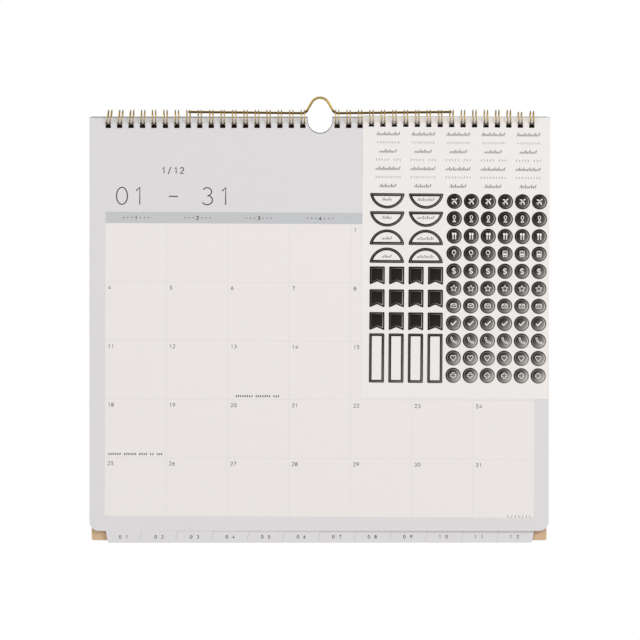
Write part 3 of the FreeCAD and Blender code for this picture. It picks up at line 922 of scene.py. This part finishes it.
def half_round_stickers(foil_material, line_material):
    """The first rows hang from their straight side, and the others stand on it."""
    half = Flat(on_sheet(SHEET_FRONT), FOIL)
    half_line = Flat(on_sheet(SHEET_FRONT - FOIL), INK_LIFT)
    for row in range(HALF_ROWS):
        hangs = row < HANGING_ROWS
        straight = -HALF_TOP - row * HALF_ROW - (0 if hangs else HALF_HEIGHT)
        for column in range(HALF_COLUMNS):
            across = HALF_LEFT + column * HALF_COLUMN
            shape = lambda inset: half_outline(across, straight, hangs, inset)
            framed(half, half_line, shape, HALF_BORDER, (across, straight), HALF_RADIUS)
    made = half.piece("half_round_foil", foil_material, "stickers", "sticker_foil")
    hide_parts("half_round_stickers")
    half_line.piece("half_round_lines", line_material, "stickers", "sticker_foil")


def box_stickers(foil_material, line_material):
    box = Flat(on_sheet(SHEET_FRONT), FOIL)
    box_line = Flat(on_sheet(SHEET_FRONT - FOIL), INK_LIFT)
    low = -BOX_TOP - BOX_HEIGHT
    for column in range(BANNER_COLUMNS):
        across = BANNER_LEFT + column * BANNER_COLUMN
        left = across - BANNER_WIDTH / 2
        right = across + BANNER_WIDTH / 2
        shape = lambda inset: box_outline(left + inset, right - inset, low + inset, -BOX_TOP - inset)
        framed(box, box_line, shape, BOX_BORDER, (across, -BOX_TOP - BOX_HEIGHT / 2), BANNER_WIDTH / 2)
    made = box.piece("box_foil", foil_material, "stickers", "sticker_foil")
    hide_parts("box_stickers")
    box_line.piece("box_lines", line_material, "stickers", "sticker_foil")


def banner_stickers(foil_material, line_material):
    banner = Flat(on_sheet(SHEET_FRONT), FOIL)
    banner_line = Flat(on_sheet(SHEET_FRONT - FOIL), INK_LIFT)
    for column in range(BANNER_COLUMNS):
        across = BANNER_LEFT + column * BANNER_COLUMN
        left = across - BANNER_WIDTH / 2
        right = across + BANNER_WIDTH / 2
        for row in range(BANNER_ROWS):
            top = -BANNER_TOP - row * BANNER_ROW
            low = top - BANNER_HEIGHT
            outline = [(left, low), (across, low + BANNER_NOTCH), (right, low), (right, top), (left, top)]
            middle = (across, top - BANNER_HEIGHT / 2)
            # Painted reflection on each banner, and a painted highlight on its inset line
            banner.face_of(rounded_banner(outline, BANNER_CORNER), gleam_at(middle, BANNER_WIDTH, 0.04))
            inset = rounded_banner(offset(outline, BANNER_INSET, True), BANNER_CORNER / 2)
            gleam = ring_gleam(middle, BANNER_WIDTH / 2, 0.12, 0.85)
            banner_line.stroke(inset, BANNER_LINE, True, gleam)
    made = banner.piece("banner_foil", foil_material, "stickers", "sticker_foil")
    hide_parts("banner_stickers")
    banner_line.piece("banner_lines", line_material, "stickers", "sticker_foil")


def rounded_banner(outline, radius):
    """A banner's outline, whose tail notch stays sharp. It comes after the first rounded corner."""
    tail_left, notch, tail_right, top_right, top_left = outline
    corners = rounded([tail_left, tail_right, top_right, top_left], radius)
    corner_points = len(corners) // 4
    return corners[:corner_points] + [notch] + corners[corner_points:]


# Pictures on the round stickers, drawn about a sticker's middle in millimetres

def about(middle, points):
    """Points given in millimetres from a sticker's middle, as places on the sheet."""
    return [(middle[0] + x * MM, middle[1] + y * MM) for x, y in points]


def pen(flat, middle):
    """Draws lines on a sticker. Points and width are in millimetres."""
    def stroke(points, width, closed=False):
        flat.stroke(about(middle, points), width * MM, closed)
    return stroke


def brush(flat, middle):
    """Draws filled shapes on a sticker. Points are in millimetres, run anticlockwise."""
    def fill(points):
        flat.face_of(about(middle, points))
    return fill


def plane(flat, middle):
    stroke = pen(flat, middle)
    fill = brush(flat, middle)
    stroke([(-1.9, -1.6), (2.0, 2.1)], 0.95)
    fill([(0.4, 0.0), (1.3, 0.9), (-1.5, 1.9), (-2.3, 1.5)])
    fill([(1.5, -2.5), (1.9, -1.9), (0.9, 0.5), (0.0, -0.4)])
    fill([(-1.4, -1.5), (-1.0, -1.1), (-1.9, -0.6), (-2.6, -0.9)])
    fill([(-1.0, -2.7), (-0.7, -2.0), (-1.1, -1.1), (-1.5, -1.5)])


def key(flat, middle):
    stroke = pen(flat, middle)
    stroke(arc(0, 1.2, 0.95, 1.25, -55, 235, 18) + [(1.0, -2.3), (-1.0, -2.3)] + [(0.55, 0.18)], 0.5)


def cutlery(flat, middle):
    stroke = pen(flat, middle)
    fill = brush(flat, middle)
    stroke([(-0.85, -2.4), (-0.85, 0.6)], 0.75)
    fill(arc(-0.85, 1.5, 0.75, 0.95, 180, 360, 10) + [(-0.1, 2.5), (-1.6, 2.5)])
    stroke([(1.0, -2.4), (1.0, 0.6)], 0.75)
    fill(arc(1.0, 1.5, 0.85, 1.05, 0, 360, 18)[:-1])


def balloon(flat, middle):
    stroke = pen(flat, middle)
    stroke(arc(0, 0.9, 1.35, 1.5, -62, 242, 20) + [(0, -1.2)], 0.5, True)
    stroke([(0, -1.2), (0.15, -2.6)], 0.45)
    stroke(arc(0, 1.0, 0.7, 0.8, 20, 100, 6), 0.35)


def bus(flat, middle):
    stroke = pen(flat, middle)
    stroke(rounded(box_outline(-1.55, 1.55, -1.9, 2.1), 0.5), 0.5, True)
    stroke([(-1.5, 0.1), (1.5, 0.1)], 0.5)
    stroke([(-1.5, -0.6), (1.5, -0.6)], 0.9)
    stroke([(0, 0.1), (0, 1.9)], 0.3)
    stroke([(-1.3, -2.3), (-0.7, -2.3)], 0.55)
    stroke([(0.7, -2.3), (1.3, -2.3)], 0.55)


def coin(flat, middle):
    stroke = pen(flat, middle)
    stroke(arc(0, 0.95, 1.1, 0.9, 20, 255, 14) + arc(0, -0.9, 1.1, 0.95, 80, -160, 16), 0.7)
    stroke([(0, -2.5), (0, 2.5)], 0.45)


def star(flat, middle):
    stroke = pen(flat, middle)
    tips = []
    for k in range(10):
        reach = 2.5 if k % 2 == 0 else 1.15
        turn = math.radians(90 + 36 * k)
        tips.append((reach * math.cos(turn), reach * math.sin(turn)))
    stroke(tips, 0.45, True)


def envelope(flat, middle):
    stroke = pen(flat, middle)
    stroke(rounded(box_outline(-2.0, 2.0, -1.4, 1.5), 0.4), 0.5, True)
    stroke([(-1.9, 1.3), (0, -0.2), (1.9, 1.3)], 0.45)


def check(flat, middle):
    stroke = pen(flat, middle)
    stroke([(-1.9, 0.0), (-0.6, -1.4), (2.2, 1.7)], 0.8)


def phone(flat, middle):
    stroke = pen(flat, middle)
    outer = arc(2.6, 2.6, 4.6, 4.6, 183, 267, 16)
    inner = arc(2.6, 2.6, 3.7, 3.7, 262, 188, 12)
    stroke(outer + [(2.6, -1.0), (1.6, -0.6)] + inner + [(-0.6, 1.6), (-1.0, 2.6)], 0.4, True)


def heart(flat, middle):
    stroke = pen(flat, middle)
    left = arc(-1.0, 0.75, 1.05, 1.05, 35, 205, 12)
    right = arc(1.0, 0.75, 1.05, 1.05, -25, 145, 12)
    stroke([(0, -2.2)] + right + left, 0.45, True)


def cross(flat, middle):
    stroke = pen(flat, middle)
    arm = 0.75
    reach = 2.0
    right = [(arm, -reach), (arm, -arm), (reach, -arm), (reach, arm), (arm, arm), (arm, reach)]
    left = [(-x, -y) for x, y in right]
    stroke(right + left, 0.42, True)


PICTURES = {
    "plane": plane, "key": key, "cutlery": cutlery, "balloon": balloon, "bus": bus, "coin": coin,
    "star": star, "envelope": envelope, "check": check, "phone": phone, "heart": heart, "cross": cross,
}


# Wires

def wire_piece(name, points, thickness, material, body):
    """A round wire along points, which are close enough together to be smooth."""
    curve = bpy.data.curves.new(name, "CURVE")
    curve.dimensions = "3D"
    spline = curve.splines.new("POLY")
    spline.points.add(len(points) - 1)
    for target, point in zip(spline.points, points):
        target.co = (*point, 1)
    curve.bevel_depth = thickness / 2
    curve.bevel_resolution = 3
    curve.use_fill_caps = True
    curve.materials.append(material)
    made = bpy.data.objects.new(name, curve)
    bpy.context.scene.collection.objects.link(made)
    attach(made, body)
    return made


def comb(first, leans, sags):
    """One comb of twin loops. A turn of 0 is straight below the rings' axis, and grows towards the back."""
    root = math.asin(SEAM_DEPTH / LOOP_RADIUS)
    tip_end = math.asin((SEAM_DEPTH - BINDING_WIRE - SEAM_CLEARANCE) / LOOP_RADIUS)
    tip_start = 2 * math.pi + tip_end - HALF_TWIN / LOOP_RADIUS
    ring_start = root + ROOT_CORNER / LOOP_RADIUS
    steps = 40
    bend_steps = 4
    tip_steps = 8
    ring = [ring_start + (tip_start - ring_start) * k / steps for k in range(steps + 1)]
    tip = [math.pi * k / tip_steps for k in range(1, tip_steps)]
    bends = [math.pi / 2 * k / bend_steps for k in range(bend_steps)]
    corner = [(ROOT_CORNER * math.sin(t), ROOT_CORNER / LOOP_RADIUS * math.cos(t)) for t in bends]

    def at(x, turn, index):
        lean = leans.get(index, 0) * (1 - math.cos(turn)) / 2
        sag = sags.get(index, 0) * max(-math.cos(turn) - SAG_START, 0) / (1 - SAG_START)
        height = RING_HEIGHT - LOOP_RADIUS * math.cos(turn) - sag
        return Vector((x + lean, LOOP_RADIUS * math.sin(turn), height))

    path = []
    for index in range(LOOPS_PER_SIDE):
        middle = first + index * HOLE_PITCH
        left = middle - HALF_TWIN
        right = middle + HALF_TWIN
        if index == 0:
            path.append(at(left - 2 * ROOT_CORNER, root, index))
        path += [at(left - ROOT_CORNER + dx, ring_start - dt, index) for dx, dt in corner]
        path += [at(left, turn, index) for turn in ring]
        for t in tip:
            turn = tip_start + HALF_TWIN / LOOP_RADIUS * math.sin(t)
            path.append(at(middle - HALF_TWIN * math.cos(t), turn, index))
        path += [at(right, turn, index) for turn in reversed(ring)]
        path += [at(right + ROOT_CORNER - dx, ring_start - dt, index) for dx, dt in reversed(corner)]
    path.append(at(right + 2 * ROOT_CORNER, root, index))
    return path


def bindings():
    metal = brass("binding_brass", PALE_BRASS, BRASS_DARK, inside_stack, 0.2)
    path = comb(FIRST_LEFT, LEFT_LEANS, {})
    left = wire_piece("twin_loops_left", path, BINDING_WIRE, metal, "binding")
    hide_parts("binding_wire_left")
    path = comb(FIRST_RIGHT, RIGHT_LEANS, RIGHT_SAGS)
    right = wire_piece("twin_loops_right", path, BINDING_WIRE, metal, "binding")
    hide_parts("binding_wire_right")


def bend(centre, radius, start, end, steps=18):
    """Points of a bend: a turn of 0 points up, and it grows towards +X."""
    turns = [start + (end - start) * k / steps for k in range(steps + 1)]
    return [(centre[0] + radius * math.sin(t), centre[1] + radius * math.cos(t)) for t in turns]


def hanger():
    """The eye, and on each side a leg, a bend at its foot and an arm that runs straight to its end."""
    foot_height = ARM_END[1] - ARM_DIP
    eye_centre = (0, HANGER_WIRE / 2 - EYE_RADIUS)
    leg_top = (EYE_RADIUS * math.sin(LEG_ANGLE), eye_centre[1] + EYE_RADIUS * math.cos(LEG_ANGLE))
    drop = leg_top[1] - foot_height - FOOT_RADIUS * (1 - math.cos(LEG_ANGLE))
    leg_foot = (leg_top[0] + drop / math.tan(LEG_ANGLE), leg_top[1] - drop)
    foot_x = leg_foot[0] + FOOT_RADIUS * math.sin(LEG_ANGLE)
    foot_z = leg_foot[1] + FOOT_RADIUS * math.cos(LEG_ANGLE)
    away = (ARM_END[0] - foot_x, ARM_END[1] - foot_z)
    lean = math.atan2(away[1], away[0]) + math.asin(FOOT_RADIUS / math.hypot(*away))
    foot = bend((foot_x, foot_z), FOOT_RADIUS, math.pi + LEG_ANGLE, math.pi - lean)
    right = foot + [ARM_END]
    left = [(-x, z) for x, z in reversed(right)]
    eye = bend(eye_centre, EYE_RADIUS, -LEG_ANGLE, LEG_ANGLE)
    path = [Vector((x, 0, z)) for x, z in left + eye + right]
    metal = brass("hanger_brass", BRASS, BRASS_DARK, under_arms, 0.24)
    made = wire_piece("hanger_smooth", path, HANGER_LOOK, metal, "hanger")
    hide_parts("hanger")


# Surroundings

def world():
    made = bpy.data.worlds.new("surround")
    bpy.context.scene.world = made
    made.use_nodes = True
    tree = made.node_tree
    background = tree.nodes["Background"]
    path = add(tree, "ShaderNodeLightPath", {}).outputs
    seen = maths(tree, "MAXIMUM", path["Is Camera Ray"], path["Is Glossy Ray"])
    seen = maths(tree, "MAXIMUM", seen, path["Is Transmission Ray"])
    strength = maths(tree, "ADD", maths(tree, "MULTIPLY", seen, 1 - AMBIENT), AMBIENT)
    background.inputs["Color"].default_value = (1, 1, 1, 1)
    tree.links.new(strength, background.inputs["Strength"])


def floor():
    """A pale floor that fades into the white surround before its rim."""
    mesh = bpy.data.meshes.new("floor")
    shape = bmesh.new()
    bmesh.ops.create_circle(shape, cap_ends=True, segments=96, radius=FLOOR_RADIUS)
    bmesh.ops.translate(shape, verts=shape.verts, vec=(0, 0, FLOOR_HEIGHT))
    shape.to_mesh(mesh)
    shape.free()
    made = bpy.data.objects.new("floor", mesh)
    bpy.context.scene.collection.objects.link(made)
    material, tree, shader = new_material("floor_white")
    where = places(tree)[0]
    shader.inputs["Base Color"].default_value = (0.9, 0.9, 0.9, 1)
    shader.inputs["Roughness"].default_value = 0.9
    flat = add(tree, "ShaderNodeVectorMath", {0: where, 1: (1, 1, 0)}, operation="MULTIPLY").outputs[0]
    distance = add(tree, "ShaderNodeVectorMath", {0: flat}, operation="LENGTH").outputs["Value"]
    fade = ramp(tree, distance, FADE_START, FADE_END)
    path = add(tree, "ShaderNodeLightPath", {}).outputs
    seen = maths(tree, "MAXIMUM", path["Is Camera Ray"], path["Is Glossy Ray"])
    glow = add(tree, "ShaderNodeEmission", {"Color": (1, 1, 1, 1), "Strength": 1.0}).outputs[0]
    joined = add(tree, "ShaderNodeMixShader", {0: maths(tree, "MULTIPLY", fade, seen)})
    tree.links.new(shader.outputs[0], joined.inputs[1])
    tree.links.new(glow, joined.inputs[2])
    tree.links.new(joined.outputs[0], tree.nodes["Material Output"].inputs[0])
    mesh.materials.append(material)


def lamp(name, place, size, power):
    light = bpy.data.lights.new(name, "AREA")
    light.shape = "DISK"
    light.size = size
    light.energy = power
    made = bpy.data.objects.new(name, light)
    bpy.context.scene.collection.objects.link(made)
    made.location = place
    aim = Vector((0, 0, VIEW_HEIGHT)) - Vector(place)
    made.rotation_mode = "QUATERNION"
    made.rotation_quaternion = aim.to_track_quat("-Z", "Y")
    made.visible_camera = False


def camera():
    data = bpy.data.cameras.new("camera")
    data.sensor_width = SENSOR
    data.lens = SENSOR * VIEW_DISTANCE / VIEW_WIDTH
    made = bpy.data.objects.new("camera", data)
    bpy.context.scene.collection.objects.link(made)
    made.location = (0, PAGES_FRONT - VIEW_DISTANCE, VIEW_HEIGHT)
    made.rotation_euler = (math.pi / 2, 0, 0)
    bpy.context.scene.camera = made


def dress(node, material):
    """Give a solid that stays its better material."""
    piece = nodes[node]
    piece.data.materials.clear()
    piece.data.materials.append(material)


camera()
world()
floor()
lamp("key_lamp", place=(1.1, -1.6, 0.75), size=0.9, power=14)
lamp("fill_lamp", place=(-1.4, -1.5, 0.3), size=1.2, power=6.5)

dress("month_pages", printed_page())
dress("backing_board", kraft_board())
dress("sticker_sheet", sheet_paper())
page_ink = ink("page_ink", INK)
page_print(page_ink)
tab_numbers(page_ink)
sheet_print()
foil_dark = foil("sticker_foil")
foil_line = foil("foil_line")
round_stickers(foil_dark, foil_line, plain_paper("picture_paper", SHEET_WHITE))
half_round_stickers(foil_dark, foil_line)
box_stickers(foil_dark, foil_line)
banner_stickers(foil_dark, foil_line)
bindings()
hanger()

bpy.context.scene.view_settings.view_transform = "Standard"
